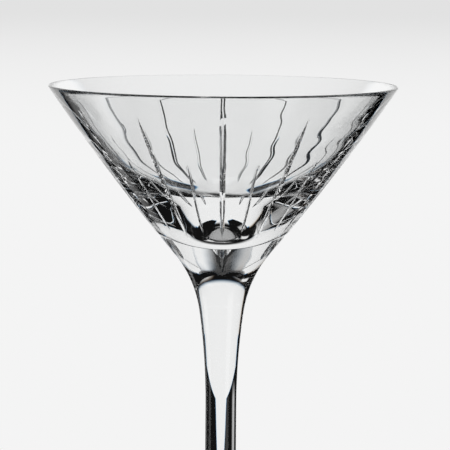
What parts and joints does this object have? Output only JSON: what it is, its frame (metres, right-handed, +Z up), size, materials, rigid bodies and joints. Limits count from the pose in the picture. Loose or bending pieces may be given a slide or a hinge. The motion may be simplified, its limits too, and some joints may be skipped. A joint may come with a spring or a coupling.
{
  "type": "martini glass",
  "caption": "Stemmed cocktail glass of clear crystal: a wide conical bowl ground with long and short vertical needle cuts, on a drawn stem and a round foot.",
  "frame": {"origin": "centre of the plane that the foot's rest ring stands on, on the glass's own axis", "axes": "+Z up along the stem, from the foot to the rim; +X and -Y each run through a long needle cut"},
  "size_m": [0.118, 0.118, 0.175],
  "materials": {
    "crystal": "clear colourless crystal, fire polished, with polished needle cuts"
  },
  "bodies": {
    "root": {"bowl": "crystal", "stem": "crystal", "foot": "crystal"}
  },
  "joints": []
}
